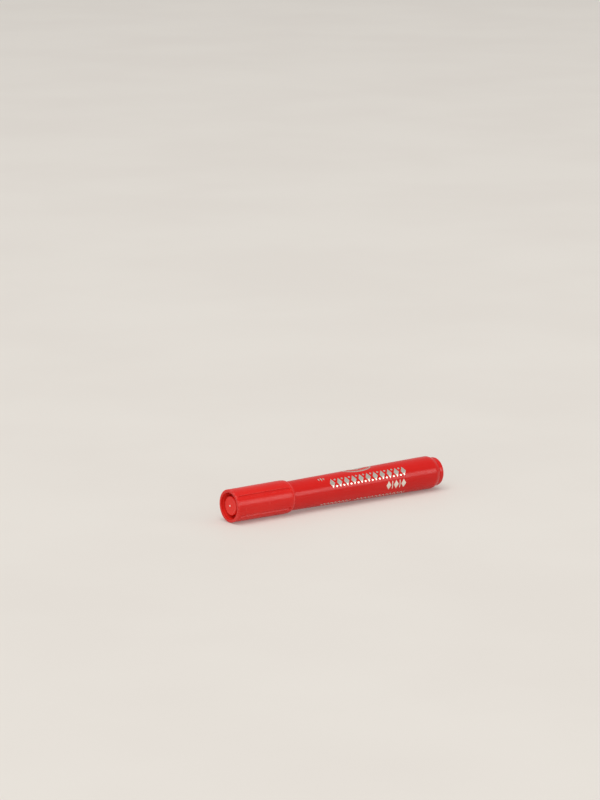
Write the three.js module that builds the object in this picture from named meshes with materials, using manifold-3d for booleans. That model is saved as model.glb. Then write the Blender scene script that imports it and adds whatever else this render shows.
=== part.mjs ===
import * as THREE from 'three';
import { mergeVertices } from 'three/addons/utils/BufferGeometryUtils.js';
import Module from 'manifold-3d';

// Whiteboard marker with a bullet nib, cap on, lying on its side.
// Millimetres. +X runs along the axis from the cap to the rear end, +Z is up.
// Every length below that is called "station" is measured along the axis from the cap's end rim.

const wasm = await Module();
wasm.setup();

// ---- driving dimensions -------------------------------------------------
const LENGTH = 138.5;            // cap rim to the end plug's face

const CAP_LENGTH = 36.75;        // end rim to mouth
const CAP_RIM_RADIUS = 8.82;
const CAP_MOUTH_RADIUS = 9.03;   // largest radius, just before the mouth's rounding
const CAP_MOUTH_EDGE = 8.5;
const CAP_BORE_END = 7.15;
const CAP_BORE_MOUTH = 7.42;
const FLUTES = 5;                // shallow lengthwise channels between broad lands
const LAND_WIDTH = 60.5;         // degrees
const LAND_START = -18;          // degrees from the top, towards the front (-Y)
const FLUTE_WALL = 3.0;          // degrees
const FLUTE_DEPTH = 0.6;
const FLUTE_START = 2.2;         // station
const FLUTE_END = 34.2;          // station

const SEAL_RECESS = 1.0;         // seal disc below the end rim
const SEAL_RADIUS = 5.0;
const SEAL_END = 20.5;           // station of the seal cup's lip

const BARREL_START = 37.0;       // station
const BARREL_FRONT_RADIUS = 7.88;
const BARREL_REAR_RADIUS = 9.05;
const SHOULDER_START = 131.9;    // station
const BARREL_END = 135.1;        // station
const BARREL_BORE_FRONT = 6.6;
const BARREL_BORE_REAR = 6.75;

const PLUG_RADIUS = 7.85;
const PLUG_EDGE = 1.8;           // rounding of the plug's outer edge

const NOSE_RADIUS = 4.35;
const NOSE_START = 14.2;         // station
const NECK_RADIUS = 7.1;
const BEAD_RADIUS = 7.22;
const NIB_RADIUS = 2.4;
const NIB_TIP = 8.4;             // station
const NIB_BORE = 2.55;

const RESERVOIR_START = 51.3;    // station
const RESERVOIR_END = 128.0;     // station
const RESERVOIR_RADIUS = 5.3;
const FILM_INNER = 5.4;
const FILM_OUTER = 5.6;
const BREATHER_RADIUS = 0.42;

const FINE = 48;                 // sides of the barrel and the plug
const COARSE = 32;               // sides of the inner pieces

// ---- helpers ------------------------------------------------------------
const rad = THREE.MathUtils.degToRad;

function evenAngles(sides) {
  // a flat, not an edge, faces straight down
  return Array.from({ length: sides }, (_, i) => ((i + 0.5) * 360) / sides);
}

function signedVolume(geometry) {
  const p = geometry.getAttribute('position');
  const index = geometry.getIndex().array;
  const a = new THREE.Vector3(), b = new THREE.Vector3(), c = new THREE.Vector3();
  let v = 0;
  for (let i = 0; i < index.length; i += 3) {
    a.fromBufferAttribute(p, index[i]);
    b.fromBufferAttribute(p, index[i + 1]);
    c.fromBufferAttribute(p, index[i + 2]);
    v += a.dot(b.cross(c)) / 6;
  }
  return v;
}

function clean(geometry) {
  let g = geometry;
  g.deleteAttribute('normal');
  g.deleteAttribute('uv');
  g = mergeVertices(g, 1e-4);
  const src = g.getIndex().array, keep = [];
  for (let i = 0; i < src.length; i += 3) {
    const [a, b, c] = [src[i], src[i + 1], src[i + 2]];
    if (a !== b && b !== c && c !== a) keep.push(a, b, c);
  }
  g.setIndex(keep);
  if (signedVolume(g) < 0) {
    for (let i = 0; i < keep.length; i += 3) [keep[i], keep[i + 1]] = [keep[i + 1], keep[i]];
    g.setIndex(keep);
  }
  return g;
}

// Revolves a profile of [station, radius] points about the X axis.
// angles are in degrees from the top towards the front; shape(station, radius, angle index)
// may return another radius.
function revolve(profile, angles, shape = (s, r) => r) {
  const n = angles.length;
  const g = new THREE.LatheGeometry(profile.map(([s, r]) => new THREE.Vector2(r, s)), n);
  const p = g.getAttribute('position');
  for (let i = 0; i <= n; i++) {
    const k = i % n, t = rad(angles[k]);
    for (let j = 0; j < profile.length; j++) {
      const [s, r] = profile[j];
      const q = r === 0 ? 0 : shape(s, r, k, j);
      p.setXYZ(i * profile.length + j, s, -q * Math.sin(t), q * Math.cos(t));
    }
  }
  return clean(g);
}

function toSolid(geometry) {
  const g = clean(geometry);
  const p = g.getAttribute('position');
  const vertProperties = new Float32Array(p.count * 3);
  for (let i = 0; i < p.count; i++) vertProperties.set([p.getX(i), p.getY(i), p.getZ(i)], i * 3);
  return new wasm.Manifold(new wasm.Mesh({ numProp: 3, vertProperties, triVerts: new Uint32Array(g.getIndex().array) }));
}

function fromSolid(solid) {
  const m = solid.getMesh();
  const g = new THREE.BufferGeometry();
  const xyz = new Float32Array((m.vertProperties.length / m.numProp) * 3);
  for (let i = 0; i < xyz.length / 3; i++) {
    for (let k = 0; k < 3; k++) xyz[i * 3 + k] = m.vertProperties[i * m.numProp + k];
  }
  g.setAttribute('position', new THREE.BufferAttribute(xyz, 3));
  g.setIndex(Array.from(m.triVerts));
  return g;
}

// A straight rib along the axis, standing inwards from a bore.
function rib(from, to, inner, outer, width, angle) {
  const g = new THREE.BoxGeometry(to - from, width, outer - inner);
  g.translate((from + to) / 2, 0, (inner + outer) / 2);
  g.rotateX(rad(angle));
  return g;
}

function addRibs(body, ribs) {
  let solid = toSolid(body);
  for (const r of ribs) solid = solid.add(toSolid(r));
  return fromSolid(solid);
}

function piece(name, geometry, color, roughness, metalness = 0) {
  geometry.computeVertexNormals();
  const mesh = new THREE.Mesh(geometry, new THREE.MeshStandardMaterial({ color, roughness, metalness, flatShading: true }));
  mesh.name = name;
  return mesh;
}

const RED = 0xcf2c28, PALE = 0xe9e4da, INK = 0xa8141c;

// ---- cap ----------------------------------------------------------------
// Sleeve: broad lands with shallow flutes between them, vented at the end around the seal cup.
const capAngles = [], inFlute = [];
for (let k = 0; k < FLUTES; k++) {
  const start = LAND_START + (360 / FLUTES) * k, end = start + 360 / FLUTES;
  const landEnd = start + LAND_WIDTH;
  const land = [start];
  // the lands' flats line up with the barrel's, so the marker lies level on both
  for (let t = 3.75 + 7.5 * Math.ceil((start - 2.25) / 7.5); t < landEnd - 1.5; t += 7.5) land.push(t);
  land.push(landEnd);
  for (const t of land) { capAngles.push(t); inFlute.push(false); }
  const a = start + LAND_WIDTH + FLUTE_WALL, b = end - FLUTE_WALL;
  for (const t of [a, (a + b) / 2, b]) { capAngles.push(t); inFlute.push(true); }
}
const flare = (s) => CAP_RIM_RADIUS + ((CAP_MOUTH_RADIUS - CAP_RIM_RADIUS) * Math.min(s, 32)) / 32;

const sleeveOutside = [
  [0, 8.52], [0.3, CAP_RIM_RADIUS], [FLUTE_START, flare(FLUTE_START)], [FLUTE_START + 1, flare(FLUTE_START + 1)],
  [12, flare(12)], [22, flare(22)], [32.8, CAP_MOUTH_RADIUS], [FLUTE_END - 0.4, 9.01], [FLUTE_END, 8.99],
  [35, 8.93], [35.8, 8.81],
  [36.4, 8.66], [CAP_LENGTH, CAP_MOUTH_EDGE],
];
const sleeveProfile = [
  ...sleeveOutside,
  [CAP_LENGTH, 7.72], [36.25, CAP_BORE_MOUTH], [20, 7.3], [0.25, CAP_BORE_END], [0, 7.4], [0, 8.52],
];
const sleeve = revolve(sleeveProfile, capAngles, (s, r, k, j) => {
  if (j >= sleeveOutside.length || !inFlute[k] || s <= FLUTE_START || s >= FLUTE_END) return r;
  return Math.min(r, flare(s) - FLUTE_DEPTH);
});
const webs = [0, 90, 180, 270].map((t) => rib(9, 17, 5.35, 7.6, 1.0, t + 27));
const capSleeve = piece('cap_sleeve', addRibs(sleeve, webs), RED, 0.28);

// Seal cup: closed disc with the gate nub at the cap's end, lip towards the nib.
const capSeal = piece('cap_inner_seal', revolve([
  [0.5, 0], [0.5, 0.45], [SEAL_RECESS, 0.62], [SEAL_RECESS, SEAL_RADIUS - 0.25], [1.25, SEAL_RADIUS],
  [18, 5.2], [18, 6.3], [19.2, 6.3], [19.8, 5.3], [SEAL_END, 5.3], [SEAL_END, 4.75], [19.6, 4.5],
  [13.5, 4.5], [12.5, 4.2], [2.6, 4.1], [2.2, 3.7], [2.2, 0],
], evenAngles(COARSE)), RED, 0.32);

// ---- barrel -------------------------------------------------------------
const barrelProfile = [
  [BARREL_START, BARREL_BORE_FRONT], [BARREL_START, 7.7], [37.2, BARREL_FRONT_RADIUS],
  [82, (BARREL_FRONT_RADIUS + BARREL_REAR_RADIUS) / 2], [127, BARREL_REAR_RADIUS - 0.01],
  [SHOULDER_START, BARREL_REAR_RADIUS], [133, 8.91], [134, 8.5], [134.6, 8.17], [BARREL_END, 7.85],
  [BARREL_END, 7.0], [134.7, BARREL_BORE_REAR], [BARREL_START, BARREL_BORE_FRONT],
];
const barrelRibs = [45, 135, 225, 315].map((t) => rib(53, 126, 5.75, 6.95, 1.0, t));
const barrel = piece('barrel', addRibs(revolve(barrelProfile, evenAngles(FINE)), barrelRibs), RED, 0.25);

// End plug: domed head outside, hollow spigot pressed into the barrel.
const plugCentre = LENGTH - PLUG_EDGE;
const plugEdge = [90, 67.5, 45, 22.5, 0].map((t) => [
  plugCentre + PLUG_EDGE * Math.sin(rad(t)), PLUG_RADIUS - PLUG_EDGE + PLUG_EDGE * Math.cos(rad(t)),
]);
const endPlug = piece('end_plug', revolve([
  [LENGTH, 0], ...plugEdge, [135.3, PLUG_RADIUS], [135.3, 6.55], [130.1, 6.5], [129.6, 6.2], [129.6, 5.2],
  [134.6, 5.0], [134.6, 0],
], evenAngles(FINE)), RED, 0.25);

// Front section: spigot in the barrel, neck with a snap bead for the cap, nose for the seal cup.
const frontSection = piece('front_section', revolve([
  [NOSE_START, NIB_BORE], [NOSE_START, 3.9], [14.7, NOSE_RADIUS], [22, NOSE_RADIUS], [22.4, 4.9], [25.6, 6.7],
  [26.6, NECK_RADIUS], [30.2, NECK_RADIUS], [30.6, BEAD_RADIUS], [31.4, BEAD_RADIUS], [31.8, NECK_RADIUS],
  [36.8, NECK_RADIUS], [36.8, 6.45], [49, 6.4], [50, 6.1], [50, 4.9], [40.5, 4.7], [39, NIB_BORE],
  [NOSE_START, NIB_BORE],
], evenAngles(COARSE)), PALE, 0.45);

// Nib: bullet tip, straight body, tapered tail in the reservoir.
const nib = piece('nib', revolve([
  [NIB_TIP, 0], [8.45, 0.5], [8.8, 1.1], [9.6, 1.7], [10.8, 2.12], [12.2, 2.35], [13.4, NIB_RADIUS],
  [46, NIB_RADIUS], [54, 1.6], [58, 1.2], [58.3, 0],
], evenAngles(COARSE)), INK, 0.95);

// ---- ink reservoir ------------------------------------------------------
const reservoirFibre = piece('reservoir_fibre', revolve([
  [59, 0], [59, 1.45], [RESERVOIR_START, 2.2], [RESERVOIR_START, 5.0], [51.6, RESERVOIR_RADIUS],
  [127.7, RESERVOIR_RADIUS], [RESERVOIR_END, 5.0], [RESERVOIR_END, 0],
], evenAngles(COARSE)), INK, 0.95);

const reservoirFilm = piece('reservoir_film', revolve([
  [51, FILM_INNER], [51, FILM_OUTER], [128.3, FILM_OUTER], [128.3, FILM_INNER], [51, FILM_INNER],
], evenAngles(COARSE)), 0xe6dcd6, 0.35);

const breather = piece('breather_tube', revolve([
  [50.6, 0.22], [50.6, BREATHER_RADIUS], [126.5, BREATHER_RADIUS], [126.5, 0.22], [50.6, 0.22],
], evenAngles(12)), 0xeeeeea, 0.4);
breather.position.z = 6.1;

// ---- assembly -----------------------------------------------------------
const marker = new THREE.Group();
const cap = new THREE.Group();
cap.add(capSleeve, capSeal);
const body = new THREE.Group();
body.add(barrel, frontSection, nib, reservoirFibre, reservoirFilm, breather, endPlug);
marker.add(cap, body);
marker.position.set(-LENGTH / 2, 0, BARREL_REAR_RADIUS * Math.cos(Math.PI / FINE));

export default marker;
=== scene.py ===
import bpy, bmesh, math
import numpy as np
from mathutils import Vector, Matrix


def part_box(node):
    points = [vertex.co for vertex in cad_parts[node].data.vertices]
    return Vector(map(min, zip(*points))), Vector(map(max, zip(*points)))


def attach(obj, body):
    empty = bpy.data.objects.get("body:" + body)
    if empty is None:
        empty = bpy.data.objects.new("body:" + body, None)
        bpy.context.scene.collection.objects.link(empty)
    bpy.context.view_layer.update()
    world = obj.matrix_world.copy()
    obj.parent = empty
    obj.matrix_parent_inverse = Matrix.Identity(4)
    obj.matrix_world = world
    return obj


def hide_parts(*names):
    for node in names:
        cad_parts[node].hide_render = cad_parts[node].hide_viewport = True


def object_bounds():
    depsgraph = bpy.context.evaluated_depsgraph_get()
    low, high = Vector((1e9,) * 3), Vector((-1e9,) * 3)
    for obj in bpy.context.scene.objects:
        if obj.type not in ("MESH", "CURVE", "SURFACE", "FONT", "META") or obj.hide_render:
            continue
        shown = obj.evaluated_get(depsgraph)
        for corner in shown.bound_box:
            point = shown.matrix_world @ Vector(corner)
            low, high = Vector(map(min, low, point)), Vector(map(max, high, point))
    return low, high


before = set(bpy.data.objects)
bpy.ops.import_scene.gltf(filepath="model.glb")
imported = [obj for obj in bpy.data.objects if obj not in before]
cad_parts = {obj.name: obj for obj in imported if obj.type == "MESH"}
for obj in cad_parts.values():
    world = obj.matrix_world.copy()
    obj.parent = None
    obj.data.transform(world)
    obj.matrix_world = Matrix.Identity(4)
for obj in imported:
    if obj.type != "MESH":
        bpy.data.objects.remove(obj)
cad_lo, cad_hi = [list(v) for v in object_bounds()]

MM = 0.001
b_lo, b_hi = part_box("barrel")
c_lo, c_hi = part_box("cap_sleeve")
X0 = c_lo.x                               # station 0, the cap's end rim
LENGTH = (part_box("end_plug")[1].x - X0) / MM
AXIS_Z = (b_lo.z + b_hi.z) / 2

# ------------------------------------------------------------------ camera
PITCH, YAW = math.radians(11.89), math.radians(36.28)
right = Vector((math.cos(YAW), -math.sin(YAW), 0))
ahead = Vector((math.sin(YAW), math.cos(YAW), 0))
fwd = ahead * math.cos(PITCH) - Vector((0, 0, 1)) * math.sin(PITCH)
up = ahead * math.sin(PITCH) + Vector((0, 0, 1)) * math.cos(PITCH)
cam_data = bpy.data.cameras.new("view")
cam_data.sensor_width = 36.0
cam_data.lens = 3577 * 36.0 / 800
cam_data.clip_start, cam_data.clip_end = 0.05, 60
cam = bpy.data.objects.new("view", cam_data)
bpy.context.scene.collection.objects.link(cam)
where = Vector((X0, 0, AXIS_Z)) - (right * -37.30 + up * -55.70 + fwd * 1877) * MM
cam.matrix_world = Matrix((
    (right.x, up.x, -fwd.x, where.x),
    (right.y, up.y, -fwd.y, where.y),
    (right.z, up.z, -fwd.z, where.z),
    (0, 0, 0, 1)))
bpy.context.scene.camera = cam

# ------------------------------------------------------------------ mesh tools
def smooth(a, b, x):
    t = min(1.0, max(0.0, (x - a) / (b - a)))
    return t * t * (3 - 2 * t)


def rounded(points, closed=False):
    """Rounds a profile's corners. points are (station, radius, fillet in mm, segments)."""
    pts = [(p + (0, 5))[:4] if len(p) < 4 else p for p in points]
    pts = [(p[0], p[1], p[2], p[3]) for p in pts]
    out, n = [], len(pts)
    for i, (s, r, f, k) in enumerate(pts):
        if f <= 0 or (not closed and i in (0, n - 1)):
            out.append((s, r))
            continue
        a, b, c = Vector(pts[i - 1][:2]), Vector((s, r)), Vector(pts[(i + 1) % n][:2])
        u, v = (a - b), (c - b)
        lu, lv = u.length, v.length
        u.normalize(); v.normalize()
        ang = math.acos(max(-1, min(1, u.dot(v))))
        cut = min(f / math.tan(ang / 2), lu * 0.48, lv * 0.48)
        rr = cut * math.tan(ang / 2)
        mid = (u + v).normalized()
        centre = b + mid * (rr / math.sin(ang / 2))
        p0, p1 = b + u * cut, b + v * cut
        a0 = math.atan2(p0.y - centre.y, p0.x - centre.x)
        a1 = math.atan2(p1.y - centre.y, p1.x - centre.x)
        d = (a1 - a0 + math.pi) % (2 * math.pi) - math.pi
        for j in range(k + 1):
            t = a0 + d * j / k
            out.append((centre.x + rr * math.cos(t), centre.y + rr * math.sin(t)))
    return out


def dense(profile, step):
    """Adds stations on the long straight runs."""
    out = [profile[0]]
    for a, b in zip(profile, profile[1:]):
        n = max(1, math.ceil(math.dist(a, b) / step))
        out += [(a[0] + (b[0] - a[0]) * i / n, a[1] + (b[1] - a[1]) * i / n) for i in range(1, n + 1)]
    return out


def even(n):
    return [360.0 * i / n for i in range(n)]


def turned(name, profile, angles, shape=None, closed=True, wear=None, offset=(0, 0), sharp=32, bore=None):
    """A body of revolution about the marker's axis, with an optional radius function."""
    verts, rows = [], []
    for s, r in profile:
        if r <= 1e-9:
            rows.append([len(verts)])
            verts.append((s, 0.0, 0.0, 0.0))
            continue
        row = []
        for t in angles:
            q = shape(s, r, t) if shape else r
            row.append(len(verts))
            verts.append((s, -q * math.sin(math.radians(t)), q * math.cos(math.radians(t)), t))
        rows.append(row)
    faces, n = [], len(angles)
    pairs = list(zip(rows, rows[1:])) + ([(rows[-1], rows[0])] if closed else [])
    for a, b in pairs:
        for i in range(n):
            j = (i + 1) % n
            if len(a) == 1 and len(b) == 1:
                continue
            if len(a) == 1:
                faces.append((a[0], b[i], b[j]))
            elif len(b) == 1:
                faces.append((a[i], b[0], a[j]))
            else:
                faces.append((a[i], b[i], b[j], a[j]))
    me = bpy.data.meshes.new(name)
    me.from_pydata([(X0 + v[0] * MM, (v[1] + offset[0]) * MM, AXIS_Z + (v[2] + offset[1]) * MM) for v in verts], [], faces)
    bm = bmesh.new()
    bm.from_mesh(me)
    bmesh.ops.recalc_face_normals(bm, faces=bm.faces)
    if bm.calc_volume(signed=True) < 0:
        bmesh.ops.reverse_faces(bm, faces=bm.faces)
    bm.to_mesh(me)
    bm.free()
    me.shade_smooth()
    me.set_sharp_from_angle(angle=math.radians(sharp))
    for key, fn in (("wear", wear), ("bore", bore)):
        if fn:
            at = me.attributes.new(key, "FLOAT", "POINT")
            at.data.foreach_set("value", [fn(v[0], math.hypot(v[1], v[2]), v[3]) for v in verts])
    ob = bpy.data.objects.new(name, me)
    bpy.context.scene.collection.objects.link(ob)
    return ob


# ------------------------------------------------------------------ materials
class Nodes:
    def __init__(self, name):
        self.mat = bpy.data.materials.new(name)
        self.mat.use_nodes = True
        self.t = self.mat.node_tree
        self.bsdf = self.t.nodes["Principled BSDF"]
        self.coord = self.t.nodes.new("ShaderNodeTexCoord").outputs["Object"]

    def new(self, kind, **props):
        n = self.t.nodes.new(kind)
        for k, v in props.items():
            setattr(n, k, v)
        return n

    def link(self, a, b):
        self.t.links.new(a, b)

    def noise(self, scale, detail=3, rough=0.5, stretch=(1, 1, 1), dist=0.0):
        m = self.new("ShaderNodeMapping")
        m.inputs["Scale"].default_value = stretch
        self.link(self.coord, m.inputs["Vector"])
        n = self.new("ShaderNodeTexNoise")
        n.inputs["Scale"].default_value = scale
        n.inputs["Detail"].default_value = detail
        n.inputs["Roughness"].default_value = rough
        n.inputs["Distortion"].default_value = dist
        self.link(m.outputs["Vector"], n.inputs["Vector"])
        return n.outputs["Fac"]

    def ramp(self, fac, lo, hi, a=0.0, b=1.0):
        r = self.new("ShaderNodeMapRange")
        r.interpolation_type = "SMOOTHSTEP"
        r.inputs["From Min"].default_value = lo
        r.inputs["From Max"].default_value = hi
        r.inputs["To Min"].default_value = a
        r.inputs["To Max"].default_value = b
        self.link(fac, r.inputs["Value"])
        return r.outputs["Result"]

    def math(self, op, a, b):
        m = self.new("ShaderNodeMath", operation=op)
        for i, x in enumerate((a, b)):
            if isinstance(x, (int, float)):
                m.inputs[i].default_value = x
            else:
                self.link(x, m.inputs[i])
        return m.outputs[0]

    def mix(self, fac, a, b):
        m = self.new("ShaderNodeMix", data_type="RGBA")
        if isinstance(fac, (int, float)):
            m.inputs[0].default_value = fac
        else:
            self.link(fac, m.inputs[0])
        for i, x in ((6, a), (7, b)):
            if isinstance(x, (tuple, list)):
                m.inputs[i].default_value = (*x[:3], 1)
            else:
                self.link(x, m.inputs[i])
        return m.outputs[2]

    def attr(self, name):
        return self.new("ShaderNodeAttribute", attribute_name=name).outputs["Fac"]

    def bump(self, height, strength, distance, normal=None):
        b = self.new("ShaderNodeBump")
        b.inputs["Strength"].default_value = strength
        b.inputs["Distance"].default_value = distance
        self.link(height, b.inputs["Height"])
        if normal is not None:
            self.link(normal, b.inputs["Normal"])
        return b.outputs["Normal"]


def gloss_plastic(name, base, deep, pale, rough=0.2, spec=0.33, worn=0.5, rubbed=None, inner=None):
    """Moulded polypropylene: flow streaks, a little orange peel, handling scratches, rubbed edges that in places are
    also painted highlights, and paler inner surfaces that are painted light.
    """
    m = Nodes(name)
    streak = m.noise(90, 4, 0.55, (0.18, 1, 1))
    cloud = m.noise(45, 2, 0.5)
    col = m.mix(m.ramp(streak, 0.35, 0.68), base, deep)
    col = m.mix(m.ramp(cloud, 0.45, 0.8, 0, 0.55), col, pale)
    fleck = m.noise(2600, 2, 0.5)
    col = m.mix(m.ramp(fleck, 0.66, 0.75, 0, 0.25), col, deep)
    # rubbed edges, broken up by noise; the same lightening is a painted highlight on the cap's mouth rim and on the
    # seal's gate nub
    rub_and_glint = m.math("MULTIPLY", m.attr("wear"), m.ramp(m.noise(900, 4, 0.6), 0.35, 0.62))
    col = m.mix(m.math("MULTIPLY", rub_and_glint, worn), col, rubbed or tuple(min(1, p * 1.08 + 0.10) for p in pale))
    if inner:                                          # painted light: inner surfaces in the gaps get a much paler red in place of light bounced into them
        col = m.mix(m.attr("bore"), col, inner)
    m.link(col, m.bsdf.inputs["Base Color"])
    smear = m.ramp(m.noise(130, 5, 0.65, (1, 1.6, 1)), 0.42, 0.72)
    scratch = m.ramp(m.noise(1500, 2, 0.5, (0.05, 1, 1)), 0.60, 0.72)
    r = m.math("ADD", rough, m.math("MULTIPLY", smear, 0.07))
    r = m.math("ADD", r, m.math("MULTIPLY", scratch, 0.10))
    r = m.math("ADD", r, m.math("MULTIPLY", rub_and_glint, 0.25))
    m.link(r, m.bsdf.inputs["Roughness"])
    n = m.bump(m.noise(55, 2, 0.5, (0.35, 1, 1)), 0.26, 0.00012)
    n = m.bump(m.noise(1100, 3, 0.5), 0.07, 0.00003, n)
    n = m.bump(m.noise(2400, 2, 0.5, (0.03, 1, 1)), 0.055, 0.00003, n)
    m.link(n, m.bsdf.inputs["Normal"])
    m.bsdf.inputs["Specular IOR Level"].default_value = spec
    m.bsdf.inputs["IOR"].default_value = 1.49
    m.bsdf.inputs["Subsurface Weight"].default_value = 0.10
    m.bsdf.inputs["Subsurface Radius"].default_value = (1.0, 0.12, 0.10)
    m.bsdf.inputs["Subsurface Scale"].default_value = 0.0022
    return m.mat


RED, DEEP, PALE = (0.635, 0.0078, 0.0050), (0.585, 0.0054, 0.0038), (0.675, 0.0125, 0.0076)
# cap_red's inner colour is a much paler red, painted light in the sleeve's bore and the gap around the seal cup
mat_cap = gloss_plastic("cap_red", (0.705, 0.0096, 0.0050), (0.655, 0.0066, 0.0038), (0.745, 0.0150, 0.0075), 0.21, worn=0.45, inner=(0.97, 0.046, 0.034))
# seal_red is a lighter red than the cap's, painted light on the end disc; its inner colour is painted light on the gap
# wall, and its rubbed colour at full strength is a painted highlight on the gate nub
mat_seal = gloss_plastic("seal_red", (0.87, 0.0175, 0.0085), (0.82, 0.013, 0.0072), (0.91, 0.025, 0.013), 0.28, worn=1.0, rubbed=(1.0, 0.74, 0.67), inner=(0.97, 0.046, 0.034))
mat_barrel = gloss_plastic("barrel_red", RED, DEEP, PALE, 0.17, spec=0.28, worn=0.30)
mat_plug = gloss_plastic("plug_red", (0.66, 0.0071, 0.0057), DEEP, PALE, 0.19, worn=0.25)


def natural_plastic(name, base, pale):
    m = Nodes(name)
    col = m.mix(m.ramp(m.noise(160, 4, 0.6, (0.4, 1, 1)), 0.35, 0.7), base, pale)
    m.link(col, m.bsdf.inputs["Base Color"])
    # ink stains creep back from the nib along the nose
    m.link(m.math("ADD", 0.36, m.math("MULTIPLY", m.ramp(m.noise(500, 4, 0.6), 0.4, 0.7), 0.16)), m.bsdf.inputs["Roughness"])
    m.link(m.bump(m.noise(1800, 3, 0.55), 0.2, 0.00004), m.bsdf.inputs["Normal"])
    return m


nat = natural_plastic("front_natural", (0.74, 0.69, 0.60), (0.80, 0.76, 0.69))
soak = nat.math("ADD", nat.attr("wear"), nat.math("MULTIPLY", nat.noise(210, 3, 0.5, (0.6, 1, 1)), 0.5))
stain = nat.math("MULTIPLY", nat.ramp(soak, 0.42, 1.25), 0.92)
old = nat.bsdf.inputs["Base Color"].links[0].from_socket
nat.link(nat.mix(stain, old, (0.42, 0.012, 0.018)), nat.bsdf.inputs["Base Color"])
mat_front = nat.mat
mat_tube = natural_plastic("tube_natural", (0.80, 0.79, 0.75), (0.86, 0.85, 0.83)).mat


def fibre(name, base, dark, along, strength):
    """Bonded fibre bundle, with its strands along the axis."""
    m = Nodes(name)
    strands = m.noise(5200, 4, 0.6, (along, 1, 1))
    blotch = m.noise(420, 3, 0.6)
    col = m.mix(m.ramp(strands, 0.36, 0.66), dark, base)
    col = m.mix(m.ramp(blotch, 0.45, 0.75, 0, 0.5), col, dark)
    m.link(col, m.bsdf.inputs["Base Color"])
    m.link(m.math("ADD", 0.62, m.math("MULTIPLY", strands, 0.3)), m.bsdf.inputs["Roughness"])
    n = m.bump(strands, strength, 0.00012)
    m.link(m.bump(m.noise(3000, 4, 0.7), 0.4, 0.00006, n), m.bsdf.inputs["Normal"])
    m.bsdf.inputs["Sheen Weight"].default_value = 0.25
    m.bsdf.inputs["Sheen Roughness"].default_value = 0.5
    return m.mat


mat_nib = fibre("nib_fibre", (0.46, 0.010, 0.020), (0.26, 0.004, 0.010), 0.06, 0.5)
mat_ink = fibre("ink_fibre", (0.58, 0.030, 0.045), (0.36, 0.008, 0.018), 0.02, 0.8)

fm = Nodes("film")
fm.link(fm.mix(fm.ramp(fm.noise(240, 3, 0.5, (0.2, 1, 1)), 0.4, 0.7), (0.62, 0.30, 0.30), (0.76, 0.52, 0.50)), fm.bsdf.inputs["Base Color"])
fm.link(fm.math("ADD", 0.14, fm.math("MULTIPLY", fm.noise(700, 3, 0.5), 0.16)), fm.bsdf.inputs["Roughness"])
fm.link(fm.bump(fm.noise(420, 3, 0.5, (0.15, 1, 1)), 0.5, 0.00010), fm.bsdf.inputs["Normal"])
mat_film = fm.mat

fo = Nodes("silver_foil")
pin = fo.ramp(fo.noise(3800, 3, 0.6), 0.66, 0.72)               # pinholes where the foil didn't take
fo.link(fo.mix(pin, fo.mix(fo.ramp(fo.noise(500, 3, 0.5), 0.35, 0.7), (0.80, 0.75, 0.66), (0.88, 0.84, 0.76)), RED), fo.bsdf.inputs["Base Color"])
fo.link(fo.math("SUBTRACT", 1.0, pin), fo.bsdf.inputs["Metallic"])
fo.link(fo.math("ADD", 0.16, fo.math("MULTIPLY", fo.noise(900, 4, 0.6), 0.20)), fo.bsdf.inputs["Roughness"])
fo.link(fo.bump(fo.noise(1900, 3, 0.6), 0.35, 0.00004), fo.bsdf.inputs["Normal"])
mat_foil = fo.mat

# ------------------------------------------------------------------ cap
CAP = (c_hi.x - c_lo.x) / MM
LANDS, LAND, START, WALL, DEPTH = 5, 60.5, -18.0, 3.0, 0.60
RIM, MOUTH = 8.82, 9.03


def flare(s):
    return RIM + (MOUTH - RIM) * min(max(s, 0), 32) / 32


def flute(t):
    """1 in a flute, 0 on a land, with soft walls."""
    u = (t - START) % (360 / LANDS)
    if u <= LAND:
        return 0.0
    w = 360 / LANDS - LAND
    v = u - LAND
    v = min(v, w - v) / WALL
    # a straight wall with a small round at its top and its foot
    return (v * v / 0.3 if v < 0.15 else v - 0.075 if v < 0.85 else 0.85 - (1.0 - v) ** 2 / 0.3) / 0.85 if v < 1 else 1.0


cap_angles = []
for k in range(LANDS):
    a = START + 72 * k
    cap_angles += [a + x for x in np.linspace(0, 1.2, 4)[:-1]]
    cap_angles += [a + x for x in np.linspace(1.2, LAND - 1.2, 22)[:-1]]
    cap_angles += [a + x for x in np.linspace(LAND - 1.2, LAND, 4)[:-1]]
    cap_angles += [a + x for x in np.linspace(LAND, LAND + WALL, 8)[:-1]]
    cap_angles += [a + x for x in np.linspace(LAND + WALL, 72 - WALL, 7)[:-1]]
    cap_angles += [a + x for x in np.linspace(72 - WALL, 72, 8)[:-1]]
# the webs between the sleeve and the seal cup need their own edges
WEBS = [27, 117, 207, 297]
extra = []
for w in WEBS:
    extra += [w - 5.3, w - 5.15, w - 2.5, w, w + 2.5, w + 5.15, w + 5.3]
cap_angles = sorted({round(a % 360, 4) for a in cap_angles + extra})

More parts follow.
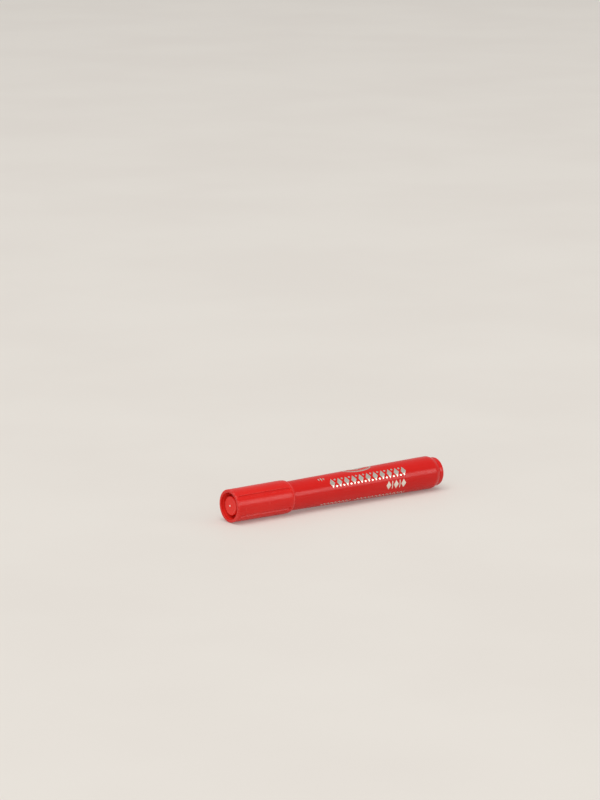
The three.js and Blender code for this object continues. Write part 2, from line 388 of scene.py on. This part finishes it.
mouth_arc = [(32.8, 9.03), (33.4, 9.025), (33.9, 9.01), (34.0, 9.006), (34.1, 9.001), (34.2, 8.995), (34.3, 8.99), (34.4, 8.984), (34.5, 8.977), (34.7, 8.965), (35.1, 8.925), (35.6, 8.86), (36.0, 8.785), (36.35, 8.69)]
outside = rounded([(0.0, 7.4), (0.0, RIM, 0.34, 7), (4.0, flare(4))])[:-1]
outside = [p for p in outside if p[1] > 7.9] + [(1.2, flare(1.2))]
outside += [(s, flare(s)) for s in (1.4, 1.6, 1.8, 2.0, 2.2, 2.4, 2.6, 2.8, 3.2)] + [(s, flare(s)) for s in np.linspace(4.4, 31.4, 18)]
outside += mouth_arc
mouth = rounded([(36.35, 8.69), (CAP, 8.5, 0.16, 5), (CAP, 7.66, 0.10, 3), (36.2, 7.42, 0.2, 3), (20, 7.3)])
inside = mouth[1:-1] + [(30, 7.38), (24, 7.33), (20, 7.3), (17.06, 7.29), (17.0, 7.29), (13, 7.26), (9.0, 7.23), (8.94, 7.23), (5, 7.2), (1.5, 7.16)]
inside += rounded([(1.5, 7.16), (0.0, 7.15, 0.3, 6), (0.0, 8.0)])[1:-1]
cap_profile = outside + inside
n_out = len(outside)


def cap_shape(s, r, t):
    if r > 8.2 and s > 0.2:                       # outer skin
        v = min(1, abs(((t - START) % 72) - (LAND + 72) / 2) / ((72 - LAND) / 2))      # 0 in the middle of a flute
        d = DEPTH * flute(t) * smooth(1.9, 2.7, s + 0.5 * (1 - v * v)) * smooth(34.35, 33.95, s - 0.1 * (1 - v * v))
        return min(r, flare(s) - d) if s < 34.6 else r
    if 8.99 < s < 17.01 and 7.0 < r < 7.4:        # webs
        u = min(abs((t - w + 180) % 360 - 180) for w in WEBS)
        if u < 5.2:
            return 5.36
    return r


def cap_wear_and_mouth_glint(s, r, t):
    # rim and land-edge terms are rubbed wear; the mouth-edge term is rubbed wear and also a painted highlight along the
    # mouth rim
    edge = max(smooth(0.9, 0.0, s) * smooth(8.2, 8.6, r), smooth(35.6, 36.5, s) * smooth(7.9, 8.2, r))
    if r > 8.3 and s > 2.5:
        u = (t - START) % 72
        edge = max(edge, 0.55 * max(smooth(1.4, 0, u), smooth(1.4, 0, abs(u - LAND))))
    return edge


# bore marks the sleeve's inner surfaces, which take the paler painted-light colour
cap = turned("cap_sleeve_moulded", cap_profile, cap_angles, cap_shape, wear=cap_wear_and_mouth_glint, sharp=40,
             bore=lambda s, r, t: smooth(7.6, 7.3, r) * smooth(0.2, 0.9, s))
cap.data.materials.append(mat_cap)
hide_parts("cap_sleeve"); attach(cap, "cap")

seal_profile = rounded([
    (0.36, 0), (0.44, 0.36, 0.16, 5), (0.98, 0.50, 0.14, 4), (1.05, 1.6, 0.4, 4), (1.08, 3.7, 0.5, 4), (1.0, 4.2, 0.25, 4), (1.0, 5.0, 0.28, 6), (3.0, 5.02), (18.0, 5.2),
    (18.0, 6.3, 0.2, 4), (19.2, 6.3, 0.25, 4), (19.8, 5.3, 0.2, 3), (20.5, 5.3, 0.12, 3), (20.5, 4.75, 0.12, 3),
    (19.6, 4.5, 0.3, 3), (13.5, 4.5, 0.3, 3), (12.5, 4.2, 0.3, 3), (2.6, 4.1, 0.3, 4), (2.2, 3.7, 0.3, 3), (2.2, 0)])
# the centre wear term is the pale gate dot, a painted highlight; bore marks the cup's outer wall in the gap, which gets
# painted light
seal = turned("cap_seal_moulded", seal_profile, even(160), closed=False,
              wear=lambda s, r, t: 3.0 * smooth(0.95, 0.6, s) * smooth(0.8, 0.4, r) + 0.04 * smooth(4.6, 4.95, r) * smooth(1.5, 1.0, s),
              bore=lambda s, r, t: smooth(1.1, 1.6, s) * smooth(4.6, 4.9, r))
seal.data.materials.append(mat_seal)
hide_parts("cap_inner_seal"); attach(seal, "cap")

# ------------------------------------------------------------------ barrel
B0 = (b_lo.x - X0) / MM
B1 = (b_hi.x - X0) / MM
FRONT, REAR, SHOULDER = 7.88, 9.05, 131.9


def barrel_radius(s):
    return FRONT + (REAR - FRONT) * min(1, (s - B0) / (127 - B0))


shoulder = [(110, barrel_radius(110)), (127, REAR - 0.01), (130, REAR)]
shoulder += [(x, REAR - 1.17 * ((x - SHOULDER) / (B1 - SHOULDER)) ** 1.5) for x in np.linspace(SHOULDER, B1 - 0.06, 16)]
shoulder += [(B1 - 0.02, 7.86), (B1, 7.8), (B1, 7.0)]
barrel_out = rounded([(B0, 7.0), (B0, 7.88, 0.16, 5), (60, barrel_radius(60))])[1:-1]
barrel_out += [(s, barrel_radius(s)) for s in np.linspace(38.2, 124, 44)] + [p for p in shoulder[1:] if p[0] > 124.5]
barrel_in = rounded([(B1, 7.6), (B1, 7.0, 0.1, 3), (134.6, 6.75, 0.3, 4), (126.5, 6.74)])[1:-1]
ribs_at = [45, 135, 225, 315]
bore = lambda s: 6.6 + 0.15 * (s - B0) / (134.7 - B0)
barrel_in += [(s, bore(s)) for s in (130, 126.06, 126.0, 110, 90, 70, 53.0, 52.94, 45, 39)] + rounded([(39, 6.6), (B0, 6.6, 0.15, 3), (B0, 7.4)])[1:-1]
barrel_angles = even(240)
for w in ribs_at:
    barrel_angles += [w - 4.75, w - 4.6, w + 4.6, w + 4.75]
barrel_angles = sorted({round(a % 360, 4) for a in barrel_angles})


def barrel_shape(s, r, t):
    if 52.99 < s < 126.01 and r < 6.9 and min(abs((t - w + 180) % 360 - 180) for w in ribs_at) < 4.65:
        return 5.76
    return r


barrel = turned("barrel_moulded", barrel_out + barrel_in, barrel_angles, barrel_shape,
                wear=lambda s, r, t: max(0.10 * smooth(131.9, 132.6, s) * smooth(133.8, 133.2, s) * smooth(8, 8.6, r), smooth(37.5, 37.1, s) * smooth(7.7, 7.9, r)), sharp=40)
barrel.data.materials.append(mat_barrel)
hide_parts("barrel"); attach(barrel, "barrel")

PR, PE = 7.85, 1.8
plug_profile = rounded([
    (LENGTH - 0.18, 0), (LENGTH - 0.18, 0.55, 0.1, 3), (LENGTH - 0.34, 0.8, 0.2, 4), (LENGTH - 0.30, 1.5, 0.3, 4), (LENGTH, 2.1, 0.5, 5), (LENGTH, PR, PE, 14), (135.14, PR, 0.07, 4),
    (135.14, 6.6, 0.05, 2), (130.1, 6.5, 0.3, 3), (129.6, 6.2, 0.2, 3), (129.6, 5.2, 0.3, 3), (134.6, 5.0, 0.4, 4), (134.6, 0)])
plug = turned("end_plug_moulded", plug_profile, even(200), closed=False,
              wear=lambda s, r, t: 0.3 * smooth(LENGTH - 1.2, LENGTH - 0.3, s) * smooth(4.8, 5.8, r))
plug.data.materials.append(mat_plug)
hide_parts("end_plug"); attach(plug, "barrel")

front_profile = rounded([
    (14.2, 2.55, 0.12, 3), (14.2, 3.9, 0.35, 5), (14.75, 4.35, 0.3, 4), (22.1, 4.35, 0.35, 4), (22.5, 4.95, 0.3, 4), (25.7, 6.75, 0.6, 6),
    (26.6, 7.1, 0.4, 4), (30.2, 7.1, 0.4, 3), (30.7, 7.22, 0.3, 4), (31.3, 7.22, 0.3, 4), (31.8, 7.1, 0.4, 3), (36.8, 7.1, 0.12, 3), (36.8, 6.45, 0.1, 3),
    (49, 6.4, 0.4, 3), (50, 6.1, 0.2, 3), (50, 4.9, 0.2, 3), (40.5, 4.7, 0.4, 3), (39, 2.55, 0.3, 3)], closed=True)
front = turned("front_section_moulded", front_profile, even(160), closed=True,
               wear=lambda s, r, t: smooth(17.5, 14.0, s) ** 1.3)
front.data.materials.append(mat_front)
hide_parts("front_section"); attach(front, "barrel")

nib_profile = [(8.4, 0)] + [(8.4 + 5.0 * (1 - math.cos(a)), 2.4 * math.sin(a) ** 0.92) for a in np.linspace(0.10, math.pi / 2, 18)] + rounded([(13.6, 2.4), (46, 2.4, 2, 4), (54, 1.6, 1, 3), (58, 1.2, 0.4, 4), (58.3, 0)])
nib = turned("nib_bullet", nib_profile, even(96), closed=False)
nib.data.materials.append(mat_nib)
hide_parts("nib"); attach(nib, "barrel")

core_profile = rounded([(59, 0), (59, 1.45, 0.2, 3), (51.3, 2.2, 0.2, 3), (51.3, 5.3, 0.4, 4), (128, 5.3, 0.4, 4), (128, 0)])
core = turned("reservoir_core", core_profile, even(96), closed=False, shape=lambda s, r, t: r - (0.05 * (0.5 + 0.5 * math.sin(math.radians(t * 24))) if r > 5 else 0))
core.data.materials.append(mat_ink)
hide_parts("reservoir_fibre"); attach(core, "barrel")

film_profile = dense([(51, 5.4), (51, 5.6)], 1) + [(s, 5.6 if i % 2 else 5.57) for i, s in enumerate(np.linspace(51.6, 127.7, 60))] + [(128.3, 5.6), (128.3, 5.4)]
film = turned("reservoir_film_sleeve", film_profile, even(96), closed=True)
film.data.materials.append(mat_film)
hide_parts("reservoir_film"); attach(film, "barrel")

tube = turned("breather_tube_drawn", rounded([(50.6, 0.22, 0.05, 2), (50.6, 0.42, 0.05, 2), (126.5, 0.42, 0.05, 2), (126.5, 0.22, 0.05, 2)], closed=True), even(24), closed=True, offset=(0, 6.1))
tube.data.materials.append(mat_tube)
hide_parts("breather_tube"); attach(tube, "barrel")

# ------------------------------------------------------------------ foil print
# Flat shapes in (station, angle) stamped on the barrel. A plain diamond-and-bar pattern, no lettering.
PROUD, SUNK = 0.035, 0.06


def on_barrel(s, t, h):
    r = (barrel_radius(s) + h) * MM
    a = math.radians(t)
    return (X0 + s * MM, -r * math.sin(a), AXIS_Z + r * math.cos(a))


class Print:
    def __init__(self):
        self.v, self.f = [], []

    def strip(self, rows, ends=True):
        """rows of (left, right) points, each (s, t): a closed thin body. A loop has no end faces."""
        n, base = len(rows), len(self.v)
        for h in (PROUD, -SUNK):
            for a, b in rows:
                self.v += [on_barrel(a[0], a[1], h), on_barrel(b[0], b[1], h)]
        top = lambda i, k: base + 2 * i + k
        bot = lambda i, k: base + 2 * n + 2 * i + k
        for i in range(n - 1):
            self.f += [(top(i, 0), top(i, 1), top(i + 1, 1), top(i + 1, 0)), (bot(i, 0), bot(i + 1, 0), bot(i + 1, 1), bot(i, 1)),
                       (top(i, 0), top(i + 1, 0), bot(i + 1, 0), bot(i, 0)), (top(i, 1), bot(i, 1), bot(i + 1, 1), top(i + 1, 1))]
        if ends:
            self.f += [(top(0, 0), bot(0, 0), bot(0, 1), top(0, 1)), (top(n - 1, 0), top(n - 1, 1), bot(n - 1, 1), bot(n - 1, 0))]

    def solid(self, s, t, half_w, half_h, kind, slant=0.0, n=12):
        """A filled shape, cut into rows of constant angle."""
        rows = []
        for i in range(n + 1):
            u = -1 + 2 * i / n
            w = half_w * {"bar": 1, "lozenge": max(0.06, 1 - abs(u)), "oval": max(0.12, math.sqrt(max(0, 1 - u * u)))}[kind]
            c = s + slant * u * half_w
            rows.append(((c - w, t + u * half_h), (c + w, t + u * half_h)))
        self.strip(rows)

    def ribbon(self, path, width, loop=False):
        """A line of constant width along (s, t) points."""
        pts = [np.array([s, math.radians(t) * barrel_radius(s)]) for s, t in path]
        n, rows = len(pts), []
        for i, p in enumerate(pts):
            a = pts[i - 1] if (i or loop) else p
            b = pts[(i + 1) % n] if (i < n - 1 or loop) else p
            d = (b - a) / np.linalg.norm(b - a)
            o = np.array([-d[1], d[0]]) * width / 2
            rows.append([(q[0], math.degrees(q[1] / barrel_radius(p[0]))) for q in (p + o, p - o)])
        if loop:
            rows.append(rows[0])
        self.strip(rows, ends=not loop)

    def ring(self, s, t, half_w, half_h, width, kind, n=48):
        if kind == "oval":
            path = [(s + half_w * math.cos(a), t + half_h * math.sin(a)) for a in np.linspace(0, 2 * math.pi, n, endpoint=False)]
        else:
            c = [(s + half_w, t), (s, t + half_h), (s - half_w, t), (s, t - half_h)]
            path = [(c[k][0] + (c[(k + 1) % 4][0] - c[k][0]) * i / 8, c[k][1] + (c[(k + 1) % 4][1] - c[k][1]) * i / 8) for k in range(4) for i in range(8)]
        self.ribbon(path, width, loop=True)

    def make(self, name, mat):
        me = bpy.data.meshes.new(name)
        me.from_pydata(self.v, [], self.f)
        bm = bmesh.new()
        bm.from_mesh(me)
        bmesh.ops.remove_doubles(bm, verts=bm.verts, dist=1e-8)
        bmesh.ops.recalc_face_normals(bm, faces=bm.faces)
        bm.to_mesh(me)
        bm.free()
        me.shade_smooth()
        me.set_sharp_from_angle(angle=math.radians(40))
        ob = bpy.data.objects.new(name, me)
        bpy.context.scene.collection.objects.link(ob)
        me.materials.append(mat)
        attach(ob, "barrel")
        return ob


deg = lambda mm, s: math.degrees(mm / barrel_radius(s))
band = Print()
PITCH_MM, N, MID = 4.74, 11, 53.5
for i in range(N):
    s = 62.9 + PITCH_MM * i
    band.solid(s, MID, 1.70, deg(2.6, s), "lozenge", n=24)
    if i < N - 1:
        for side in (-1, 1):                           # small lozenges between them, above and below
            band.solid(s + PITCH_MM / 2, MID + side * deg(1.95, s), 0.74, deg(0.64, s), "lozenge", n=12)
band.make("foil_band", mat_foil)

block = Print()
for i in range(3):
    s = 99.4 + 5.0 * i
    block.solid(s, 97, 1.62, deg(2.35, s), "lozenge", n=24)
    if i < 2:
        block.solid(s + 2.5, 97, 0.26, deg(2.2, s), "bar", n=12)
block.make("foil_block", mat_foil)

small = Print()
for s, h in ((55.7, 0.9), (57.3, 1.5), (58.9, 0.9)):
    small.solid(s, 28, 0.52, deg(h, 57), "lozenge", n=12)
small.make("foil_small", mat_foil)

wave = Print()
for a, b in ((56.0, 75.6), (78.6, 111.8)):
    n = int((b - a) / 0.16)
    wave.ribbon([(a + (b - a) * i / n, 139.5 + deg(0.76 * math.sin((a + (b - a) * i / n) * 2 * math.pi / 2.45), 80)) for i in range(n + 1)], 0.46)
wave.make("foil_wave", mat_foil)

oval = Print()
oval.ring(84.0, -4.0, 9.0, 24.0, 0.8, "oval", n=96)
oval.ring(84.0, -4.0, 7.3, 17.5, 0.25, "oval", n=96)
oval.solid(84.0, -4.0, 5.6, 9.0, "lozenge", n=24)
oval.make("foil_oval", mat_foil)

# ------------------------------------------------------------------ floor and light
me = bpy.data.meshes.new("floor")
me.from_pydata([(-8, -8, -0.00004), (8, -8, -0.00004), (8, 8, -0.00004), (-8, 8, -0.00004)], [], [(0, 1, 2, 3)])
floor = bpy.data.objects.new("floor", me)
bpy.context.scene.collection.objects.link(floor)
fl = Nodes("floor")
fl.link(fl.mix(fl.ramp(fl.noise(6, 3, 0.5), 0.3, 0.7), (0.580, 0.549, 0.512), (0.600, 0.572, 0.534)), fl.bsdf.inputs["Base Color"])
fl.bsdf.inputs["Emission Color"].default_value = (1.0, 0.955, 0.905, 1)
fl.bsdf.inputs["Emission Strength"].default_value = 0.165
fl.bsdf.inputs["Roughness"].default_value = 0.6
fl.bsdf.inputs["Specular IOR Level"].default_value = 0.12
me.materials.append(fl.mat)

world = bpy.data.worlds.new("studio")
bpy.context.scene.world = world
world.use_nodes = True
bg = world.node_tree.nodes["Background"]
bg.inputs["Color"].default_value = (1.0, 0.985, 0.96, 1)
bg.inputs["Strength"].default_value = 0.505

centre = Vector(((cad_lo[0] + cad_hi[0]) / 2, 0, AXIS_Z))


def softbox(name, direction, distance, w, h, radiance, color=(1, 1, 1)):
    d = Vector(direction).normalized()
    l = bpy.data.lights.new(name, "AREA")
    l.shape = "RECTANGLE"
    l.size, l.size_y = w, h
    l.energy = radiance * w * h * math.pi
    l.color = color
    o = bpy.data.objects.new(name, l)
    bpy.context.scene.collection.objects.link(o)
    o.location = centre + d * distance
    o.rotation_mode = "QUATERNION"
    o.rotation_quaternion = d.to_track_quat("Z", "Y")
    return o


softbox("key", (0.579, -0.769, 0.270), 5.2, 1.9, 1.9, 3.0, (1.0, 0.98, 0.95))
softbox("top", (-0.25, -0.15, 1.0), 6.4, 5.6, 5.6, 2.55, (1.0, 0.99, 0.97))
softbox("side", (-0.85, -0.62, 0.45), 6.0, 4.0, 3.6, 0.88, (1.0, 0.98, 0.96))

sc = bpy.context.scene
sc.view_settings.view_transform = "Standard"
sc.view_settings.look = "None"
